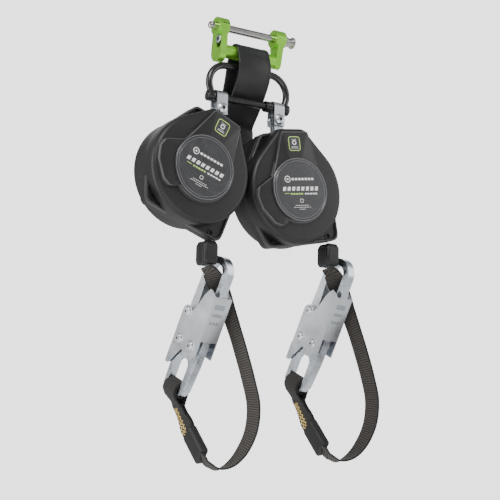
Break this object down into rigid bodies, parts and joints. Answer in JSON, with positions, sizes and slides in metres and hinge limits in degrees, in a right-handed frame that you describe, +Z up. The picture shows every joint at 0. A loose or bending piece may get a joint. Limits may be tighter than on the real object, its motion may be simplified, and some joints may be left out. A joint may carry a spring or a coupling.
{
  "type": "self retracting lifeline",
  "caption": "Twin-leg self retracting webbing lifeline with a quick-release harness connector, shackle, absorber and tie-back snap hooks.",
  "frame": {"origin": "middle of the lock pin, between the connector's two arms", "axes": "+X along the lock pin towards its head, -Y the front of the lifeline units, +Z up as it hangs"},
  "size_m": [0.3682, 0.1335, 0.5939],
  "materials": {
    "steel": "machined steel",
    "pin_steel": "polished stainless pin",
    "spring_steel": "blued spring steel",
    "zinc": "satin zinc plating",
    "green_anodised": "lime green anodised aluminium",
    "black_steel": "glossy black coating",
    "case_plastic": "fine-textured black nylon",
    "label_grey": "satin printed label",
    "drum_plastic": "moulded nylon",
    "black_webbing": "satin black polyester webbing",
    "brown_webbing": "ribbed dark webbing",
    "rubber": "moulded rubber"
  },
  "bodies": {
    "connector": {"left_arm": "green_anodised", "right_arm": "green_anodised", "cross_bolt": "steel", "bolt_spacer": "green_anodised", "strap_loop": "black_webbing", "absorber_pack": "black_webbing"},
    "lock_pin": {"lock_pin": "pin_steel"},
    "lock_slider": {"lock_slider": "steel"},
    "shackle": {"shackle_bow": "black_steel", "shackle_pin": "black_steel", "shackle_collar": "black_steel"},
    "link_left": {"link_left": "zinc", "link_bolt_left": "zinc"},
    "unit_left": {"front_cover_left": "case_plastic", "back_cover_left": "case_plastic", "label_disc_left": "label_grey", "anchor_bracket_left": "steel", "drum_shaft_left": "steel", "brake_ring_left": "steel", "power_spring_left": "spring_steel"},
    "drum_left": {"drum_left": "drum_plastic", "wound_webbing_left": "brown_webbing"},
    "pawl_a_left": {"pawl_a_left": "steel"},
    "pawl_b_left": {"pawl_b_left": "steel"},
    "leg_left": {"bumper_left": "rubber", "lifeline_left": "brown_webbing", "sewn_end_left": "brown_webbing", "eye_bushing_left": "rubber", "hook_body_left": "zinc", "hook_guard_left": "zinc", "gate_rivet_left": "zinc", "lever_rivet_left": "zinc", "body_rivet_left": "zinc"},
    "gate_left": {"hook_gate_left": "zinc"},
    "lever_left": {"hook_lever_left": "zinc"},
    "link_right": {"link_right": "zinc", "link_bolt_right": "zinc"},
    "unit_right": {"front_cover_right": "case_plastic", "back_cover_right": "case_plastic", "label_disc_right": "label_grey", "anchor_bracket_right": "steel", "drum_shaft_right": "steel", "brake_ring_right": "steel", "power_spring_right": "spring_steel"},
    "drum_right": {"drum_right": "drum_plastic", "wound_webbing_right": "brown_webbing"},
    "pawl_a_right": {"pawl_a_right": "steel"},
    "pawl_b_right": {"pawl_b_right": "steel"},
    "leg_right": {"bumper_right": "rubber", "lifeline_right": "brown_webbing", "sewn_end_right": "brown_webbing", "eye_bushing_right": "rubber", "hook_body_right": "zinc", "hook_guard_right": "zinc", "gate_rivet_right": "zinc", "lever_rivet_right": "zinc", "body_rivet_right": "zinc"},
    "gate_right": {"hook_gate_right": "zinc"},
    "lever_right": {"hook_lever_right": "zinc"}
  },
  "joints": [
    {"name": "lock_pin_pull", "type": "slide", "parent": "connector", "child": "lock_pin", "axis": [1, 0, 0], "range_m": [0, 0.092]},
    {"name": "slider_press", "type": "slide", "parent": "connector", "child": "lock_slider", "axis": [0, 0, -1], "range_m": [0, 0.005], "stiffness_N_per_m": 200, "springref_m": -0.01},
    {"name": "shackle_swing", "type": "hinge", "parent": "connector", "child": "shackle", "pos_m": [0, 0, -0.052], "axis": [-1, 0, 0], "range_deg": [-1.5, 50]},
    {"name": "link_swing_left", "type": "hinge", "parent": "shackle", "child": "link_left", "pos_m": [-0.0445, 0, -0.097], "axis": [-1, 0, 0], "range_deg": [-1.5, 40]},
    {"name": "unit_roll_left", "type": "hinge", "parent": "link_left", "child": "unit_left", "pos_m": [-0.0445, 0, -0.114], "axis": [0, 1, 0], "range_deg": [0, 35]},
    {"name": "drum_spin_left", "type": "hinge", "parent": "unit_left", "child": "drum_left", "pos_m": [-0.08558, 0, -0.20627], "axis": [0, 1, 0], "continuous": true},
    {"name": "pawl_swing_left", "type": "hinge", "parent": "drum_left", "child": "pawl_a_left", "pos_m": [-0.04904, 0, -0.22254], "axis": [0, -1, 0], "range_deg": [0, 11], "stiffness_Nm_per_rad": 0.02, "springref_deg": -11.46},
    {"name": "pawl_b_swing_left", "type": "hinge", "parent": "drum_left", "child": "pawl_b_left", "pos_m": [-0.12212, 0, -0.19], "axis": [0, -1, 0], "range_deg": [0, 11]},
    {"name": "leg_swing_left", "type": "hinge", "parent": "unit_left", "child": "leg_left", "pos_m": [-0.06066, -0.006, -0.29289], "axis": [0, 1, 0], "range_deg": [-5, 28], "stiffness_Nm_per_rad": 0.5},
    {"name": "gate_open_left", "type": "hinge", "parent": "leg_left", "child": "gate_left", "pos_m": [-0.04966, 0.0369, -0.37989], "axis": [0.9782, 0.2079, 0.0006], "range_deg": [0, 5], "stiffness_Nm_per_rad": 0.3, "springref_deg": -11.46},
    {"name": "lever_press_left", "type": "hinge", "parent": "leg_left", "child": "lever_left", "pos_m": [-0.05296, 0.05254, -0.41327], "axis": [-0.9782, -0.2079, -0.0006], "range_deg": [0, 6], "stiffness_Nm_per_rad": 0.2, "springref_deg": -8.59},
    {"name": "link_swing_right", "type": "hinge", "parent": "shackle", "child": "link_right", "pos_m": [0.045, 0, -0.097], "axis": [-1, 0, 0], "range_deg": [-1.5, 40]},
    {"name": "unit_roll_right", "type": "hinge", "parent": "link_right", "child": "unit_right", "pos_m": [0.045, 0, -0.114], "axis": [0, -1, 0], "range_deg": [0, 35]},
    {"name": "drum_spin_right", "type": "hinge", "parent": "unit_right", "child": "drum_right", "pos_m": [0.0608, 0, -0.21376], "axis": [0, 1, 0], "continuous": true},
    {"name": "pawl_swing_right", "type": "hinge", "parent": "drum_right", "child": "pawl_a_right", "pos_m": [0.10031, 0, -0.2075], "axis": [0, -1, 0], "range_deg": [0, 11], "stiffness_Nm_per_rad": 0.02, "springref_deg": -11.46},
    {"name": "pawl_b_swing_right", "type": "hinge", "parent": "drum_right", "child": "pawl_b_right", "pos_m": [0.02129, 0, -0.22001], "axis": [0, -1, 0], "range_deg": [0, 11]},
    {"name": "leg_swing_right", "type": "hinge", "parent": "unit_right", "child": "leg_right", "pos_m": [0.12888, -0.006, -0.27283], "axis": [0, -1, 0], "range_deg": [-9, 14], "stiffness_Nm_per_rad": 0.5},
    {"name": "gate_open_right", "type": "hinge", "parent": "leg_right", "child": "gate_right", "pos_m": [0.13988, 0.0369, -0.35983], "axis": [0.9782, 0.2079, 0.0006], "range_deg": [0, 5], "stiffness_Nm_per_rad": 0.3, "springref_deg": -11.46},
    {"name": "lever_press_right", "type": "hinge", "parent": "leg_right", "child": "lever_right", "pos_m": [0.13658, 0.05254, -0.39321], "axis": [-0.9782, -0.2079, -0.0006], "range_deg": [0, 6], "stiffness_Nm_per_rad": 0.2, "springref_deg": -8.59}
  ],
  "couplings": [
    {"joint": "pawl_b_swing_left", "follows": "pawl_swing_left", "ratio": 1},
    {"joint": "pawl_b_swing_right", "follows": "pawl_swing_right", "ratio": 1}
  ]
}
